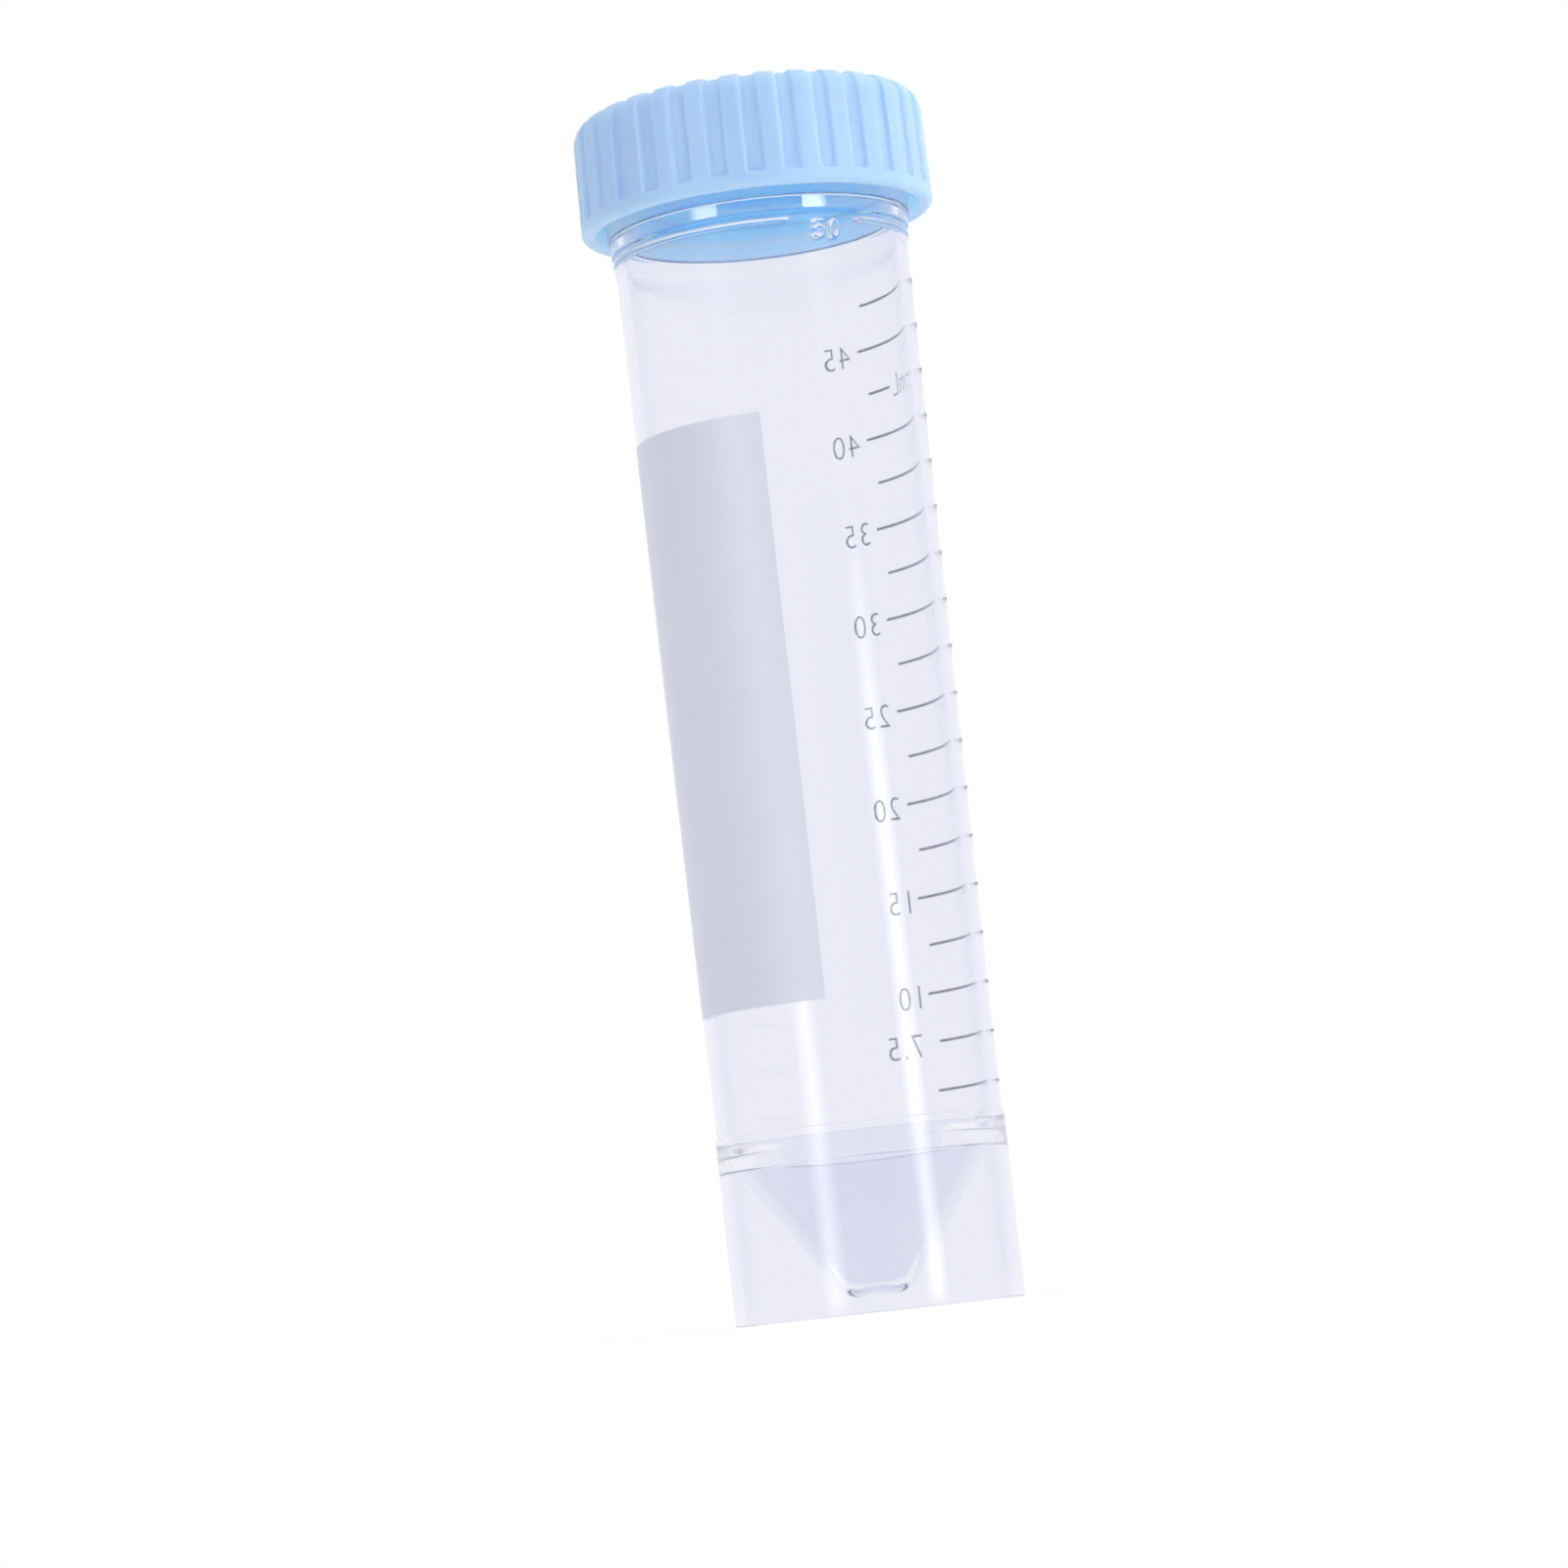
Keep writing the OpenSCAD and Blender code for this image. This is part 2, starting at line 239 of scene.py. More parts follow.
class Value:
    """The output of a node, which takes part in Python expressions."""

    def __init__(self, finish, socket):
        self.finish = finish
        self.socket = socket

    def maths(self, operation, *operands):
        return self.finish.node("ShaderNodeMath", {"operation": operation},
                                dict(enumerate(operands)))

    def __add__(self, other):
        return self.maths("ADD", self, other)

    def __sub__(self, other):
        return self.maths("SUBTRACT", self, other)

    def __rsub__(self, other):
        return self.maths("SUBTRACT", other, self)

    def __mul__(self, other):
        return self.maths("MULTIPLY", self, other)

    def __truediv__(self, other):
        return self.maths("DIVIDE", self, other)

    __radd__ = __add__
    __rmul__ = __mul__

    def __abs__(self):
        return self.maths("ABSOLUTE", self)

    def larger(self, other):
        return self.maths("MAXIMUM", self, other)

    def over(self, low, high):
        """0 below low, 1 above high and an even slope between."""
        return self.finish.node("ShaderNodeMapRange", {"clamp": True},
                                {"Value": self, "From Min": low, "From Max": high})


class Finish:
    """The nodes of one material, or of the world."""

    def __init__(self, owner):
        owner.use_nodes = True
        self.tree = owner.node_tree
        self.tree.nodes.clear()

    def node(self, kind, settings=None, inputs=None, output=0):
        """Adds a node. Its settings come first, then the values or links of its sockets."""
        made = self.tree.nodes.new(kind)
        for name, value in (settings or {}).items():
            setattr(made, name, value)
        for name, value in (inputs or {}).items():
            if isinstance(value, Value):
                self.tree.links.new(value.socket, made.inputs[name])
            else:
                made.inputs[name].default_value = value
        return Value(self, made.outputs[output])

    def place(self):
        """A point's place on its piece, in metres."""
        return self.node("ShaderNodeTexCoord", output="Object")

    def ray(self, kind):
        """1 for a ray of a kind, or else 0."""
        return self.node("ShaderNodeLightPath", output=kind)

    def part(self, vector, axis):
        """One of the three numbers of a vector."""
        return self.node("ShaderNodeSeparateXYZ", {}, {0: vector}, output=axis)

    def scaled(self, vector, scale):
        return self.node("ShaderNodeVectorMath", {"operation": "MULTIPLY"},
                         {0: vector, 1: scale})

    def noise(self, vector, scale, detail=2.0, roughness=0.5):
        return self.node("ShaderNodeTexNoise", {}, {
            "Vector": vector, "Scale": scale, "Detail": detail, "Roughness": roughness})

    def mixed(self, factor, first, second):
        """A colour between two colours."""
        return self.node("ShaderNodeMix", {"data_type": "RGBA"},
                         {0: factor, 6: first, 7: second}, output=2)

    def bump(self, height, distance, strength):
        return self.node("ShaderNodeBump", {}, {
            "Height": height, "Distance": distance, "Strength": strength})

    def mixed_shader(self, factor, first, second):
        return self.node("ShaderNodeMixShader", {}, {0: factor, 1: first, 2: second})

    def surface(self, shader, kind="ShaderNodeOutputMaterial"):
        """Ends the nodes of a material, or of the world, with a shader."""
        self.tree.links.new(shader.socket, self.tree.nodes.new(kind).inputs["Surface"])


def opaque(rgb):
    """A colour with the fourth number that a node wants."""
    return (*rgb, 1.0)


WHITE = opaque((1.0, 1.0, 1.0))


def new_finish(name):
    """A material and its nodes."""
    material = bpy.data.materials.new(name)
    return material, Finish(material)


def clear_polypropylene(colours, sizes):
    """Clear plastic: a mirror on the shoulder band, faintly drawn on the body, frosted on the
    neck."""
    mirror, drawn, hazed, frosted = 0.02, 0.01, 0.02, 0.42  # roughness, and what adds to it
    material, f = new_finish("clear_polypropylene")
    place = f.place()
    height = f.part(place, "Z")
    body = 1 - height.over(sizes.body_top, sizes.body_top + sizes.shoulder_slope)
    band_top = sizes.body_top + sizes.shoulder_height
    neck = height.over(band_top, band_top + 0.4 * MM)
    haze = f.noise(f.scaled(place, (1.0, 1.0, 0.2)), scale=160.0, detail=3.0)
    draw_lines = f.noise(f.scaled(place, (1.0, 1.0, 0.03)), scale=2600.0)
    plastic = f.node("ShaderNodeBsdfPrincipled", {}, {
        "Base Color": opaque(colours.plastic),
        "Roughness": mirror + body * (drawn + haze * hazed) + neck * frosted,
        "IOR": 1.49,
        "Transmission Weight": 1.0,
        "Normal": f.bump(draw_lines, distance=0.0006 * MM, strength=0.4),
    })
    shade = f.node("ShaderNodeBsdfTransparent", {}, {"Color": opaque(colours.shade)})
    f.surface(f.mixed_shader(f.ray("Is Shadow Ray"), plastic, shade))
    return material


def cap_plastic(name, first, second, glow, span=None):
    """Pale blue plastic with a satin skin, duller on the flat end. glow says how far light goes in
    it, and span the heights between which the first colour gives way to the second; on the cap's
    inside that change of colour is painted light. Without a span they lie in soft clouds."""
    satin, clouded, grained, dulled = 0.36, 0.1, 0.05, 0.4  # roughness, and what adds to it
    material, f = new_finish(name)
    place = f.place()
    height = f.part(place, "Z")
    end = height.over(CAP_HIGH.z - 1.2 * MM, CAP_HIGH.z - 0.4 * MM)
    cloud = f.noise(place, scale=90.0)
    grain = f.noise(place, scale=5200.0)
    share = height.over(*span) if span else cloud
    f.surface(f.node("ShaderNodeBsdfPrincipled", {}, {
        "Base Color": f.mixed(share, opaque(first), opaque(second)),
        "Roughness": satin + cloud * clouded + grain * grained + end * dulled,
        "IOR": 1.5,
        "Subsurface Weight": 1.0,
        "Subsurface Radius": glow,
        "Subsurface Scale": 1.0,
        "Normal": f.bump(grain + cloud * 3.0, distance=0.006 * MM, strength=0.6),
    }))
    return material


def field_ink(colours):
    """Matt white ink to write on, with the fine tooth that takes a pencil."""
    smooth, toothed = 0.27, 0.16  # roughness, and what adds to it
    greying = 0.95  # of the colour in the duller clouds
    material, f = new_finish("white_ink")
    place = f.place()
    cloud = f.noise(place, scale=140.0, detail=3.0)
    tooth = f.noise(place, scale=7000.0, detail=3.0, roughness=0.6)
    pale = opaque(colours.field)
    dull = opaque([c * greying for c in colours.field])
    f.surface(f.node("ShaderNodeBsdfPrincipled", {}, {
        "Base Color": f.mixed(cloud, dull, pale),
        "Roughness": smooth + tooth * toothed,
        "IOR": 1.5,
        "Normal": f.bump(tooth, distance=0.006 * MM, strength=0.5),
    }))
    return material


def scale_ink(colours):
    """Grey ink, mottled by the printing screen."""
    dense, thin = 0.4, 0.2  # roughness where it is thick, and what thin ink adds
    material, f = new_finish("grey_ink")
    mottle = f.noise(f.place(), scale=4200.0, roughness=0.6).over(0.35, 0.65)
    f.surface(f.node("ShaderNodeBsdfPrincipled", {}, {
        "Base Color": f.mixed(mottle, opaque(colours.scale), opaque(colours.scale_thin)),
        "Roughness": dense + mottle * thin,
        "IOR": 1.5,
    }))
    return material


def seen_ray(f):
    """1 for a ray that shows a surface: from the camera, a mirror or clear plastic."""
    return (f.ray("Is Camera Ray") + f.ray("Is Glossy Ray")
            + f.ray("Is Transmission Ray")).over(0.0, 1.0)


LAMP_PIVOT = 0.29  # height about which a tall lamp leans, where its bright part starts
LAMP_BRIGHT = (LAMP_PIVOT, 0.30, 0.36, 0.42)  # heights at which that part fades in and out
LAMP_GLOW = (0.13, 0.21)  # heights between which the glow near the floor fades out


def lamp_cloth(name, inner, lean, radiance, stage):
    """White cloth of a tall lamp: a soft glow near the floor, an even bright part above the tube
    and dim elsewhere. inner is the side nearer the camera."""
    even_edge, soft_edge = 0.35, 0.45  # shares of the width over which the light fades
    glowing, dim = 0.38, 0.03  # shares of the light of the bright part
    material, f = new_finish(name)
    place = f.place()
    across, up = f.part(place, "X"), f.part(place, "Z")
    height = (up - LAMP_PIVOT) * math.cos(lean) + across * math.sin(lean) + LAMP_PIVOT
    half = stage.lamp_width / 2
    even = (half + across * inner).over(0.0, even_edge * stage.lamp_width)
    soft = (half - abs(across)).over(0.0, soft_edge * stage.lamp_width)
    low = soft * glowing * (1 - height.over(*LAMP_GLOW))
    high = even * height.over(*LAMP_BRIGHT[:2]) * (1 - height.over(*LAMP_BRIGHT[2:]))
    bright = low.larger(high).larger(even * dim)
    clear = f.node("ShaderNodeBsdfTransparent", {}, {"Color": WHITE})
    lit = f.node("ShaderNodeEmission", {}, {"Color": WHITE, "Strength": radiance})
    f.surface(f.mixed_shader(bright, clear, lit))
    return material


def floor_paint(colours):
    """White floor that keeps a faint shadow round the foot, and is evenly white under the tube
    and far out."""
    shadowed = 0.4  # share of its shine that is held back where the shadow is kept
    material, f = new_finish("floor_paint")
    away = f.node("ShaderNodeVectorMath", {"operation": "LENGTH"}, {0: f.place()}, output=1)
    matt = f.node("ShaderNodeBsdfDiffuse", {}, {"Color": opaque(colours.floor)})
    lit = f.node("ShaderNodeEmission", {}, {"Color": WHITE, "Strength": 1.0})
    beyond, under = away.over(16 * MM, 50 * MM), 1 - away.over(13.8 * MM, 14.2 * MM)
    shine = 1 - shadowed + beyond * shadowed + under * shadowed
    f.surface(f.mixed_shader(seen_ray(f) * shine, matt, lit))
    return material


# ---- Shapes ----

ARC_STEP = 12 * DEG  # turn between two points of a rounded corner
HOLD = 0.04 * MM  # from a rounded corner to the point that keeps the straight beside it flat
NEAR = 0.001 * MM  # two points that are no further apart count as one
CLOSE = 0.01 * MM  # a point that is no further off a surface counts as on it


def rounded(corners):
    """Points (r, z) of an outline whose corners (r, z, radius) are rounded by arcs."""
    points = [Vector(corners[0][:2])]
    for before, corner, after in zip(corners, corners[1:], corners[2:]):
        here, radius = Vector(corner[:2]), corner[2]
        back = (Vector(before[:2]) - here).normalized()
        on = (Vector(after[:2]) - here).normalized()
        half = back.angle(on) / 2
        centre = here + (back + on).normalized() * radius / math.sin(half)
        start = here + back * radius / math.tan(half) - centre
        sweep = (math.pi - 2 * half) * (1 if back.x * on.y < back.y * on.x else -1)
        steps = max(2, math.ceil(abs(sweep) / ARC_STEP))
        arc = [centre + Matrix.Rotation(sweep * s / steps, 2) @ start for s in range(steps + 1)]
        points += [arc[0] + back * HOLD, *arc, arc[-1] + on * HOLD]
    return points + [Vector(corners[-1][:2])]


def divided(points, step, low=-1.0, high=1.0, least_r=0.0):
    """The outline with more points on its straights between two heights, outside least_r."""
    result = [points[0]]
    for a, b in zip(points, points[1:]):
        rise = b.y - a.y
        first, last = 0.0, 0.0 if min(a.x, b.x) < least_r else 1.0
        if abs(rise) > NEAR:
            ends = sorted(((low - a.y) / rise, (high - a.y) / rise))
            first, last = max(first, ends[0]), min(last, ends[1])
        elif not low <= a.y <= high:
            last = 0.0
        if first < last:
            parts = math.ceil((b - a).length * (last - first) / step)
            result += [a.lerp(b, first + (last - first) * k / parts) for k in range(parts + 1)]
        result.append(b)
    return [p for i, p in enumerate(result) if i == 0 or (p - result[i - 1]).length > NEAR]


def revolve(outline, angles, shift):
    """Vertices and faces of the closed shell swept by an outline that starts and ends on the axis.
    shift gives how far to move a point, from the outline's normal there and the angle."""
    rows = outline[1:-1]
    count = len(angles)
    vertices = []
    for i, point in enumerate(rows, 1):
        along = (outline[i + 1] - outline[i - 1]).normalized()
        out = Vector((-along.y, along.x))
        for turn in angles:
            p = point + shift(point, out, turn)
            vertices.append((p.x * math.cos(turn), p.x * math.sin(turn), p.y))
    faces = [
        (i * count + count + k, i * count + count + (k + 1) % count,
         i * count + (k + 1) % count, i * count + k)
        for i in range(len(rows) - 1) for k in range(count)
    ]
    first, last = len(vertices), len(vertices) + 1
    vertices += [(0.0, 0.0, outline[0].y), (0.0, 0.0, outline[-1].y)]
    base = (len(rows) - 1) * count
    for k in range(count):
        faces.append((k, (k + 1) % count, first))
        faces.append((base + (k + 1) % count, base + k, last))
    return vertices, faces


def ease(t):
    """0 up to 0, 1 from 1 on and a smooth rise between."""
    t = min(1.0, max(0.0, t))
    return t * t * (3 - 2 * t)


def ridge(distance, root, crest):
    """Height, up to 1, of a ridge at a distance from its middle. root and crest are its widths."""
    return ease((root / 2 - distance) / (root / 2 - crest / 2))


def thread_height(thread, z, turn):
    """Height, up to 1, of the thread's ridge at height z and at an angle from its start."""
    height = 0.0
    whole = TURN * thread.turns
    fade = math.pi / 4
    wound = turn % TURN
    while wound < whole:
        middle = TUBE_HIGH.z - thread.start + thread.lead * wound / TURN
        end = ease(min(wound, whole - wound) / fade)
        height = max(height, end * ridge(abs(z - middle), thread.root, thread.crest))
        wound += TURN
    return height


def body_radius(sizes, z):
    """Outer radius of the tapered body at height z."""
    up = (z - sizes.skirt_height) / (sizes.body_top - sizes.skirt_height)
    return sizes.body_foot_radius + up * (sizes.body_top_radius - sizes.body_foot_radius)


def tube_outline(sizes):
    """Half section of the tube, from the floor of its tip up the bore, over the rim, down the
    outside, under the skirt and back up to the underside of the tip. A corner is given by its
    radius from the axis, its height and the radius that rounds it."""
    slope = math.tan(sizes.cone_half_angle)
    floor_z = sizes.tip_height + sizes.tip_floor
    floor_r = (sizes.tip_radius + sizes.tip_floor * slope
               - sizes.cone_wall / math.cos(sizes.cone_half_angle))
    taper = ((sizes.body_top_radius - sizes.body_foot_radius)
             / (sizes.body_top - sizes.skirt_height))
    bore_zero = body_radius(sizes, 0.0) - sizes.wall
    cone_top = (bore_zero - floor_r + slope * floor_z) / (slope - taper)
    mouth, neck_r, skirt_r = TUBE_HIGH.z, sizes.neck_radius, sizes.skirt_radius
    skirt_in = skirt_r - sizes.skirt_wall
    cone_foot = sizes.tip_height + (skirt_in - sizes.tip_radius) / slope
    band_top = sizes.body_top + sizes.shoulder_height
    collar = band_top + sizes.collar_rise
    half = sizes.collar_thickness / 2
    bead_r = neck_r + sizes.collar_out
    return rounded([
        (0.0, floor_z, 0.0),
        (floor_r, floor_z, 1.0 * MM),
        (bore_zero + taper * cone_top, cone_top, 1.2 * MM),
        (bore_zero + taper * mouth, mouth, 0.3 * MM),
        (neck_r, mouth, 0.3 * MM),
        (neck_r, collar + half, 0.15 * MM),
        (bead_r, collar + half, 0.3 * MM),
        (bead_r, collar - half, 0.3 * MM),
        (neck_r + 0.1 * MM, collar - half, 0.1 * MM),
        (sizes.shoulder_radius, band_top, 0.12 * MM),
        (sizes.shoulder_radius, sizes.body_top + sizes.shoulder_slope, sizes.shoulder_round),
        (sizes.body_top_radius, sizes.body_top, sizes.shoulder_round),
        (sizes.body_foot_radius, sizes.skirt_height, 0.06 * MM),
        (skirt_r, sizes.skirt_height, 0.06 * MM),
        (skirt_r, TUBE_LOW.z, 0.15 * MM),
        (skirt_in, TUBE_LOW.z, 0.15 * MM),
        (skirt_in, cone_foot, 0.3 * MM),
        (sizes.tip_radius, sizes.tip_height, 2.0 * MM),
        (0.0, sizes.tip_height, 0.0),
    ])


# Centre lines of the raised digits, in a box one wide and one tall.
FIVE = ((0.92, 1.0), (0.14, 1.0), (0.07, 0.55), (0.28, 0.65), (0.5, 0.67), (0.74, 0.63),
        (0.9, 0.53), (0.97, 0.36), (0.93, 0.18), (0.78, 0.05), (0.52, 0.0), (0.25, 0.02),
        (0.04, 0.13))
NOUGHT = tuple((0.5 + 0.5 * math.cos(math.pi * k / 8), 0.5 + 0.5 * math.sin(math.pi * k / 8))
               for k in range(17))


def raised_digits(sizes):
    """Straights of the raised digits' centre lines, as pairs of (way round the body, height)."""
    radius, stroke = sizes.body_top_radius, sizes.number_stroke
    straights = []
    for digit, start, width in ((FIVE, sizes.five_start, sizes.five_width),
                                (NOUGHT, sizes.nought_start, sizes.nought_width)):
        line = [Vector((start * radius + stroke / 2 + x * (width * radius - stroke),
                        sizes.number_foot + stroke / 2 + y * (sizes.number_tall - stroke)))
                for x, y in digit]
        straights += zip(line, line[1:])
    return straights


def gap_between(point, start, end):
    """Distance from a point to a straight."""
    along = end - start
    share = min(1.0, max(0.0, (point - start).dot(along) / along.length_squared))
    return (point - start - along * share).length


NUMBER_STEP = 0.32 * DEG  # between two columns of the tube where the raised number stands
NUMBER_ROW = 0.085 * MM  # between two rows there
LINE_ROW = 0.06 * MM  # between two rows of the moulded line
THREAD_ROW = 0.24 * MM  # between two rows of the neck's thread
WIDE_ROW = 8 * MM  # at most, between two rows anywhere else


def tube_angles(sizes):
    """Angles of the tube's columns, close together where the raised number stands."""
    first, last = sizes.five_start - DEG, sizes.nought_start + sizes.nought_width + DEG
    near = math.ceil((last - first) / NUMBER_STEP)
    rest = 240
    return ([first + (last - first) * k / near for k in range(near)]
            + [last + (TURN - (last - first)) * k / rest for k in range(rest)])


def tube_shell(sizes, thread):
    """Vertices and faces of the tube, with its thread, its moulded line and that line's number."""
    line_low = sizes.line_height - sizes.line_width
    line_high = sizes.line_height + sizes.line_width
    outside = body_radius(sizes, sizes.skirt_height) - sizes.wall / 2
    neck_low = TUBE_HIGH.z - thread.start - thread.root
    number_high = sizes.number_foot + sizes.number_tall
    number_end = sizes.nought_start + sizes.nought_width
    outline = divided(tube_outline(sizes), WIDE_ROW)
    outline = divided(outline, NUMBER_ROW, sizes.number_foot - 2 * NUMBER_ROW, line_low, outside)
    outline = divided(outline, LINE_ROW, line_low, line_high, outside)
    outline = divided(outline, THREAD_ROW, neck_low, TUBE_HIGH.z, outside)
    straights = raised_digits(sizes)
    slope_high = sizes.body_top + sizes.shoulder_slope + sizes.shoulder_round

    def relief(point, normal, turn):
        in_neck = point.y > neck_low
        if point.x < outside or in_neck and point.x > sizes.neck_radius + CLOSE:
            return Vector((0, 0))
        if in_neck:
            return normal * thread.neck_depth * thread_height(thread, point.y, turn)
        behind = ease(0.5 + 1.5 * math.sin(turn))  # 0 at the front and 1 behind
        swell = 0.0
        if sizes.number_foot < point.y < slope_high:
            swell = behind * max(0.0, sizes.shoulder_radius - point.x) * ease(
                (point.y - sizes.number_foot) / (sizes.body_top - sizes.number_foot))
        out = 0.0
        if line_low < point.y < line_high:
            away = (turn - sizes.line_gap_start) % TURN
            ends = ease(min(away - sizes.line_gap, TURN - away) / DEG)
            faint = 1 - (1 - sizes.line_behind) * behind
            out = sizes.line_out * faint * ends * ridge(abs(point.y - sizes.line_height),
                                                        sizes.line_width, sizes.line_width / 3)
        if sizes.number_foot < point.y < number_high and sizes.five_start < turn < number_end:
            here = Vector((turn * sizes.body_top_radius, point.y))
            away = min(gap_between(here, *straight) for straight in straights)
            out = max(out, sizes.number_out * ridge(away, sizes.number_stroke,
                                                    sizes.number_crest))
        return Vector((swell, 0.0)) + normal * out

    return revolve(outline, tube_angles(sizes), relief)


def cap_angles(sizes):
    """Angles of the cap's columns, close together on the slopes beside each groove and sparse
    on the ribs."""
    pitch = TURN / sizes.ribs
    half = pitch * (1 - sizes.rib_share) / 2
    slope = sizes.groove_edge / CAP_HIGH.x
    near = [half + slope * k / 6 for k in range(-3, 4)]
    steps = [-a for a in reversed(near)] + [0.0] + near
    aside = 0.35 * (pitch / 2 - half)  # from the middle of a rib
    steps += [pitch / 2 - aside, pitch / 2, pitch / 2 + aside]
    return [sizes.first_groove + pitch * rib + step for rib in range(sizes.ribs) for step in steps]


def cap_shell(sizes, thread):
    """Vertices and faces of the cap, with its ribs and its thread."""
    foot, top = CAP_LOW.z, CAP_HIGH.z
    rim_r = CAP_HIGH.x
    top_r = rim_r - sizes.draft
    ceiling = top - sizes.end_thickness
    run_in_r = top_r - sizes.end_round - sizes.groove_run_in
    outline = rounded([
        (0.0, top, 0.0),
        (top_r, top, sizes.end_round),
        (rim_r, foot, sizes.foot_round),
        (sizes.bore_radius, foot, sizes.mouth_round),
        (sizes.bore_radius, ceiling, 0.5 * MM),
        (0.0, ceiling, 0.0),
    ])
    edge = 0.5 * MM  # of the slope at a groove's foot and where it runs out
    groove_foot = foot + sizes.rim_height
    outside = (sizes.bore_radius + rim_r) / 2
    edge_row, wide_row, thread_row = 0.1 * MM, 2.5 * MM, 0.2 * MM
    thread_low, thread_high = ceiling - 8 * MM, ceiling - 0.3 * MM
    outline = divided(outline, edge_row, groove_foot - edge / 2, groove_foot + edge, outside)
    outline = divided(outline, wide_row, foot, top, run_in_r - 2 * MM)
    outline = divided(outline, thread_row, thread_low, thread_high, sizes.bore_radius - CLOSE)
    pitch = TURN / sizes.ribs
    half = pitch * (1 - sizes.rib_share) / 2 * rim_r

    def relief(point, normal, turn):
        if point.x < outside and point.y < ceiling + CLOSE:
            if abs(point.x - sizes.bore_radius) > CLOSE:
                return Vector((0, 0))
            return normal * thread.cap_depth * thread_height(thread, point.y, turn - math.pi)
        on_end = ease((point.y - (top - sizes.end_round)) / sizes.end_round)
        depth = sizes.groove_depth + (sizes.groove_end_depth - sizes.groove_depth) * on_end
        depth *= ease((point.y - groove_foot) / edge + 0.25)
        depth *= ease((point.x - run_in_r) / edge)
        away = abs((turn - sizes.first_groove + pitch / 2) % pitch - pitch / 2) * rim_r
        return normal * -depth * ease((half - away) / sizes.groove_edge + 0.5)

    return revolve(outline, cap_angles(sizes), relief)


SINK = 0.01 * MM  # how far ink reaches into the plastic
INK_STEP = 0.6 * MM  # between two columns of a field of ink
BLUNT = 0.96  # how near to a point the end of a mark may come


def patch(sizes, ink, low, high, start, end, corner):
    """Vertices and faces of a field of ink on the body, between two heights and two angles."""
    radius = body_radius(sizes, (low + high) / 2)
    whole = (end - start) * radius
    arc = [corner * (1 - math.cos(math.pi / 2 * k / 5)) for k in range(6)]
    parts = max(1, round(whole / INK_STEP))
    middle = [corner + (whole - 2 * corner) * k / parts for k in range(1, parts)]
    stations = arc + middle + [whole - s for s in reversed(arc)]
    vertices = []
    for s in stations:
        from_end = min(s, whole - s, corner)
        cut = corner - math.sqrt(max(0.0, corner ** 2 - (corner - from_end) ** 2))
        cut = min(cut, (high - low) / 2 * BLUNT)
        turn = start + s / radius
        for z in (low + cut, high - cut):
            for out in (-SINK, ink):
                r = body_radius(sizes, z) + out
                vertices.append((r * math.cos(turn), r * math.sin(turn), z))
    faces = [(0, 1, 3, 2)]
    for k in range(len(stations) - 1):
        a, b = 4 * k, 4 * k + 4
        faces += [(a + 1, b + 1, b + 3, a + 3), (a, a + 2, b + 2, b),
                  (a, b, b + 1, a + 1), (a + 2, a + 3, b + 3, b + 2)]
    last = 4 * len(stations) - 4
    faces.append((last, last + 2, last + 3, last + 1))
    return vertices, faces


def joined(solids):
    """One list of vertices and one of faces from several solids."""
    vertices, faces = [], []
    for some_vertices, some_faces in solids:
        base = len(vertices)
        vertices += some_vertices
        faces += [tuple(base + i for i in face) for face in some_faces]
    return vertices, faces


def new_object(name, data):
    """An object in the scene that shows a mesh, a lamp, a camera or lettering."""
    made = bpy.data.objects.new(name, data)
    bpy.context.scene.collection.objects.link(made)
    return made


def new_mesh(name, vertices, faces, material):
    """An object in the scene that shows a new mesh."""
    mesh = bpy.data.meshes.new(name)
    mesh.from_pydata(vertices, [], faces)
    mesh.materials.append(material)
    return new_object(name, mesh)


def written(text, height, depth, narrowing=1.0, spacing=1.0):
    """Vertices and faces of plain lettering, height tall, standing depth out of z = 0."""
    thinning, half = 0.018, 0.5
    curve = bpy.data.curves.new("lettering", "FONT")
    curve.body = text
    curve.extrude = half
    curve.resolution_u = 5
    curve.offset = -thinning
    curve.space_character = spacing
    holder = new_object("lettering", curve)
    graph = bpy.context.evaluated_depsgraph_get()
    mesh = bpy.data.meshes.new_from_object(holder.evaluated_get(graph))
    raw = [v.co.copy() for v in mesh.vertices]
    faces = [tuple(p.vertices) for p in mesh.polygons]
    bpy.data.objects.remove(holder)
    bpy.data.curves.remove(curve)
    bpy.data.meshes.remove(mesh)
    low_x, low_y = min(v.x for v in raw), min(v.y for v in raw)
    scale = height / (max(v.y for v in raw) - low_y)
    vertices = [((v.x - low_x) * scale * narrowing, (v.y - low_y) * scale, (v.z + half) * depth)
                for v in raw]
    return vertices, faces


def wrapped(sizes, solid, start, low):
    """A flat solid laid round the body, with its left end at an angle and its foot at a height."""
    vertices = []
    for x, y, out in solid[0]:
        radius = body_radius(sizes, low + y)
        turn = start + x / radius
        r = radius - SINK + out
        vertices.append((r * math.cos(turn), r * math.sin(turn), low + y))
    return vertices, solid[1]


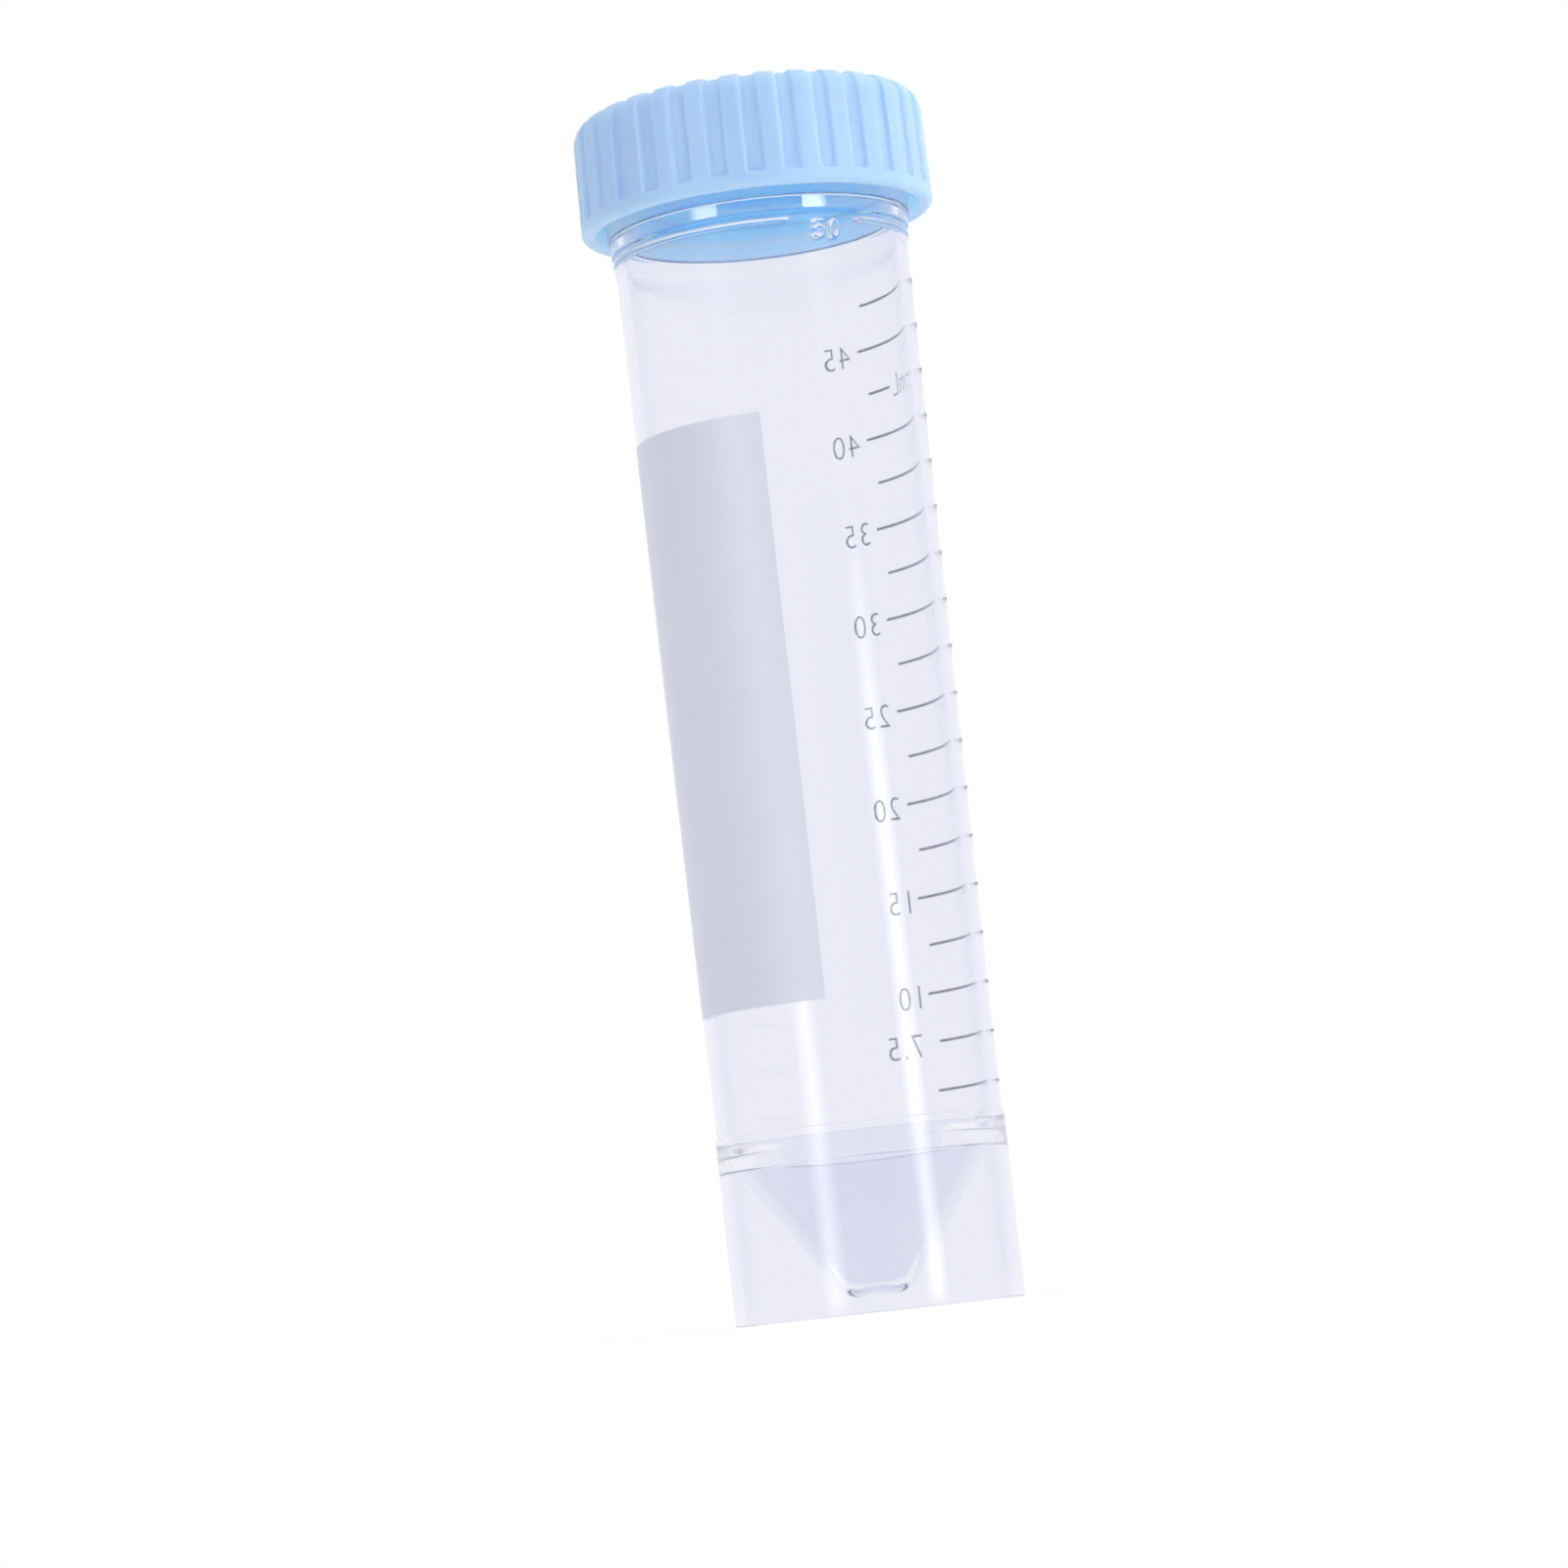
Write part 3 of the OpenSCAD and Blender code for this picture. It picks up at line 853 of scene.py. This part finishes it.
def printed_lines():
    """(height, spans) of each mark that the packed model holds, from the lowest up. A span is a
    pair of angles. The mark that the unit stands in has two."""
    next_mark, next_span = 1.0 * MM, 15 * DEG  # a wider break than this starts another one
    rows = []
    for z, turn in sorted((v.co.z, math.atan2(v.co.y, v.co.x))
                          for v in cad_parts["graduation_marks"].data.vertices):
        if not rows or z - rows[-1][-1][0] > next_mark:
            rows.append([])
        rows[-1].append((z, turn))
    lines = []
    for row in rows:
        turns = sorted(turn for _, turn in row)
        breaks = [(a, b) for a, b in zip(turns, turns[1:]) if b - a > next_span]
        firsts = [turns[0]] + [b for _, b in breaks]
        lasts = [a for a, _ in breaks] + [turns[-1]]
        lines.append(((row[0][0] + row[-1][0]) / 2, list(zip(firsts, lasts))))
    return lines


def add_piece(name, shell, material, body, slot, *nodes):
    """Makes a smooth mesh of a shell, hangs it under the empty of a body and hides the nodes that
    it stands in for.
    """
    piece = new_mesh(name, *shell, material)
    piece.data.validate()
    piece.data.shade_smooth()
    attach(piece, body)
    if nodes:
        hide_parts(*nodes)
    return piece


def crisp(piece):
    """Keeps the edges of a thin piece sharp."""
    piece.data.set_sharp_from_angle(angle=30 * DEG)


# ---- Operators ----


class CONICAL_OT_tube(bpy.types.Operator):
    """Builds the clear tube: body, skirt, cone, shoulder, collar, neck, thread and full line"""

    bl_idname = "conical.tube"
    bl_label = "Clear tube"

    def execute(self, context):
        scene = context.scene
        shell = tube_shell(scene.tube_sizes, scene.thread_sizes)
        plastic = clear_polypropylene(scene.finishes, scene.tube_sizes)
        add_piece("clear_tube", shell, plastic, "tube", "clear_polypropylene", "tube")
        return {"FINISHED"}


class CONICAL_OT_writing_field(bpy.types.Operator):
    """Builds the matt white field to write on"""

    bl_idname = "conical.writing_field"
    bl_label = "Writing field"

    def execute(self, context):
        scene = context.scene
        prints = scene.print_sizes
        shell = patch(scene.tube_sizes, prints.ink, PANEL_LOW.z, PANEL_HIGH.z,
                      prints.panel_start, prints.panel_start + prints.panel_width,
                      prints.panel_corner)
        crisp(add_piece("writing_field", shell, field_ink(scene.finishes), "tube", "white_ink",
                        "writing_panel"))
        return {"FINISHED"}


class CONICAL_OT_scale(bpy.types.Operator):
    """Builds the printed scale: its marks, its numbers and its unit. Each long mark but the
    lowest has a number, and so has one short mark"""

    bl_idname = "conical.scale"
    bl_label = "Printed scale"

    def execute(self, context):
        scene = context.scene
        sizes, prints = scene.tube_sizes, scene.print_sizes
        long_step, numbered_short = 5.0, 7.5  # in ml
        ink = scale_ink(scene.finishes)
        lines = printed_lines()
        half = prints.mark_width / 2
        marks = [patch(sizes, prints.ink, z - half, z + half, first, last, half)
                 for z, spans in lines for first, last in spans]
        crisp(add_piece("scale_marks", joined(marks), ink, "tube", "grey_ink", "graduation_marks"))
        numbers = []
        for k, (z, spans) in enumerate(lines):
            volume = prints.first_volume + k * prints.volume_step
            if volume == numbered_short or volume % long_step == 0 and k:
                solid = written(f"{volume:g}", prints.number_height, prints.ink,
                                prints.number_narrowing, prints.number_spacing)
                start = prints.half_start if volume % 1 else prints.number_start
                numbers.append(wrapped(sizes, solid, start,
                                       z - prints.number_drop - prints.number_height / 2))
            if len(spans) > 1:
                solid = written("mL", prints.unit_height, prints.ink)
                numbers.append(wrapped(sizes, solid, prints.unit_start,
                                       z - prints.unit_height / 2))
        crisp(add_piece("scale_numbers", joined(numbers), ink, "tube", "grey_ink"))
        return {"FINISHED"}


class CONICAL_OT_cap(bpy.types.Operator):
    """Builds the ribbed screw cap, whose inside is painted light: a deeper blue that stands in for
    the light glowing through the cap, paler near the open end
    """

    bl_idname = "conical.cap"
    bl_label = "Screw cap"

    def execute(self, context):
        scene = context.scene
        sizes, colours = scene.cap_sizes, scene.finishes
        shell = cap_shell(sizes, scene.thread_sizes)
        skin = cap_plastic("blue_cap_plastic", colours.cap_deep, colours.cap,
                           (1.0 * MM, 1.5 * MM, 1.8 * MM))
        # The inside is painted light: paler near the open end, then a deep blue that stands in for
        # the glow of light through the cap.
        inside = cap_plastic("blue_cap_painted_glow", colours.cap_mouth_painted_light, colours.cap_painted_glow,
                             (1.0 * MM, 4.0 * MM, 12.0 * MM),
                             (CAP_LOW.z + 1.5 * MM, CAP_LOW.z + 7.0 * MM))
        piece = add_piece("screw_cap", shell, skin, "cap", "blue_cap_plastic", "cap")
        piece.data.materials.append(inside)
        ceiling = CAP_HIGH.z - sizes.end_thickness
        for face in piece.data.polygons:
            middle = face.center
            if middle.z < ceiling + CLOSE and middle.xy.length < sizes.bore_radius + 5 * CLOSE:
                face.material_index = 1
        return {"FINISHED"}


class CONICAL_OT_stage(bpy.types.Operator):
    """Sets the floor, the lamps, the air and the camera"""

    bl_idname = "conical.stage"
    bl_label = "Stage"

    def execute(self, context):
        scene = context.scene
        stage = scene.stage_sizes
        self.lay_floor(stage, scene.finishes)
        self.hang_lamps(stage)
        self.fill_air(scene, stage)
        self.place_camera(scene, stage)
        scene.view_settings.view_transform = "Standard"
        cycles = scene.cycles
        cycles.max_bounces = cycles.transmission_bounces = cycles.glossy_bounces = 48
        cycles.diffuse_bounces = 16
        cycles.blur_glossy = 0.0
        return {"FINISHED"}

    def lay_floor(self, stage, colours):
        far = stage.floor_size
        corners = [(-far, -far, 0), (far, -far, 0), (far, far, 0), (-far, far, 0)]
        floor = new_mesh("floor", corners, [range(4)], floor_paint(colours))

    def hang_lamps(self, stage):
        """Tall soft boxes beside the camera, and wide ones at the right, behind and above."""
        self.tall_lamp(stage, "right_lamp", 46 * DEG, stage.right_lean, stage.right_lamp)
        self.tall_lamp(stage, "left_lamp", -41 * DEG, stage.left_lean, stage.left_lamp)
        self.wide_lamp("side_lamp", (1.2, 0.1, 0.5), stage.side_lamp)
        self.wide_lamp("back_lamp", (-0.2, 1.1, 0.5), stage.back_lamp)
        self.wide_lamp("top_lamp", (0.0, -0.1, 1.4), stage.top_lamp)

    def wide_lamp(self, name, place, watts):
        """A square soft box that faces the middle of the tube and shows in no reflection."""
        lamp = bpy.data.lights.new(name, "AREA")
        lamp.shape = "SQUARE"
        lamp.size = 1.0
        lamp.energy = watts
        holder = new_object(name, lamp)
        holder.location = place
        middle = (TUBE_LOW + TUBE_HIGH) / 2
        holder.rotation_euler = (middle - Vector(place)).to_track_quat("-Z", "Y").to_euler()
        holder.visible_camera = holder.visible_glossy = holder.visible_transmission = False

    def tall_lamp(self, stage, name, azimuth, lean, radiance):
        """An upright sheet of lit cloth facing the axis. Its azimuth runs from the camera to the
        right, and it leans about the foot of its bright part."""
        half, foot, top = stage.lamp_width / 2, -0.15, stage.lamp_height
        corners = [(-half, 0, foot), (half, 0, foot), (half, 0, top), (-half, 0, top)]
        inner = -1 if azimuth > 0 else 1
        cloth = lamp_cloth(name, inner, lean, radiance, stage)
        sheet = new_mesh(name, corners, [range(4)], cloth)
        away, pivot = stage.lamp_distance, Vector((0.0, 0.0, LAMP_PIVOT))
        turn = Matrix.Rotation(azimuth, 3, "Z") @ Matrix.Rotation(-lean, 3, "Y")
        middle = Vector((math.sin(azimuth) * away, -math.cos(azimuth) * away, pivot.z))
        sheet.location = middle - turn @ pivot
        sheet.rotation_euler = turn.to_euler()
        sheet.visible_camera = sheet.visible_transmission = False

    def fill_air(self, scene, stage):
        """White air for what is seen, and a dimmer light for what is lit. In mirrors and clear
        plastic it is white behind the tube, where the backdrop hangs, and pale blue beside it."""
        backdrop = (0.18, 0.32)  # sideways over ahead, where the white ends and the blue is full
        scene.world = bpy.data.worlds.new("air")
        f = Finish(scene.world)
        ray = f.node("ShaderNodeTexCoord", output="Generated")
        ahead = f.part(ray, "Y").larger(0.001)  # so that nothing is divided by 0
        beside = (abs(f.part(ray, "X")) / ahead).over(*backdrop)
        indirect = 1 - f.ray("Is Camera Ray")
        f.surface(f.node("ShaderNodeBackground", {}, {
            "Color": f.mixed(beside * indirect, WHITE, opaque(stage.beside)),
            "Strength": stage.ambient + seen_ray(f) * (1 - stage.ambient),
        }), "ShaderNodeOutputWorld")

    def place_camera(self, scene, stage):
        camera = bpy.data.cameras.new("camera")
        camera.lens = stage.camera_lens
        camera.clip_start = 5 * MM
        holder = new_object("camera", camera)
        yaw, pitch = stage.camera_yaw, stage.camera_pitch
        ahead = Vector((math.sin(yaw) * math.cos(pitch), math.cos(yaw) * math.cos(pitch),
                        math.sin(pitch)))
        turn = ahead.to_track_quat("-Z", "Y") @ Quaternion((0, 0, 1), stage.camera_roll)
        holder.location = (0.0, -stage.camera_distance, stage.camera_height)
        holder.rotation_euler = turn.to_euler()
        scene.camera = holder


# ---- Panel and registration ----

GROUPS = {"tube_sizes": TubeSizes, "thread_sizes": ThreadSizes, "cap_sizes": CapSizes,
          "print_sizes": PrintSizes, "finishes": Finishes, "stage_sizes": StageSizes}
OPERATORS = (CONICAL_OT_tube, CONICAL_OT_writing_field, CONICAL_OT_scale, CONICAL_OT_cap,
             CONICAL_OT_stage)


class CONICAL_PT_tube(bpy.types.Panel):
    """Lists the pieces and their sizes"""

    bl_idname = "CONICAL_PT_tube"
    bl_label = "Conical tube"
    bl_space_type = "VIEW_3D"
    bl_region_type = "UI"
    bl_category = "Conical tube"

    def draw(self, context):
        layout = self.layout
        for operator in OPERATORS:
            layout.operator(operator.bl_idname)
        for name, group in GROUPS.items():
            box = layout.box()
            box.label(text=group.__doc__)
            sizes = getattr(context.scene, name)
            for size in group.__annotations__:
                box.prop(sizes, size)


def register():
    for group in GROUPS.values():
        bpy.utils.register_class(group)
    for name, group in GROUPS.items():
        setattr(bpy.types.Scene, name, PointerProperty(type=group))
    for operator in (*OPERATORS, CONICAL_PT_tube):
        bpy.utils.register_class(operator)


def unregister():
    for operator in (CONICAL_PT_tube, *reversed(OPERATORS)):
        bpy.utils.unregister_class(operator)
    for name in GROUPS:
        delattr(bpy.types.Scene, name)
    for group in reversed(list(GROUPS.values())):
        bpy.utils.unregister_class(group)


def main():
    register()
    bpy.ops.conical.tube()
    bpy.ops.conical.writing_field()
    bpy.ops.conical.scale()
    bpy.ops.conical.cap()
    bpy.ops.conical.stage()


if __name__ == "__main__":
    main()
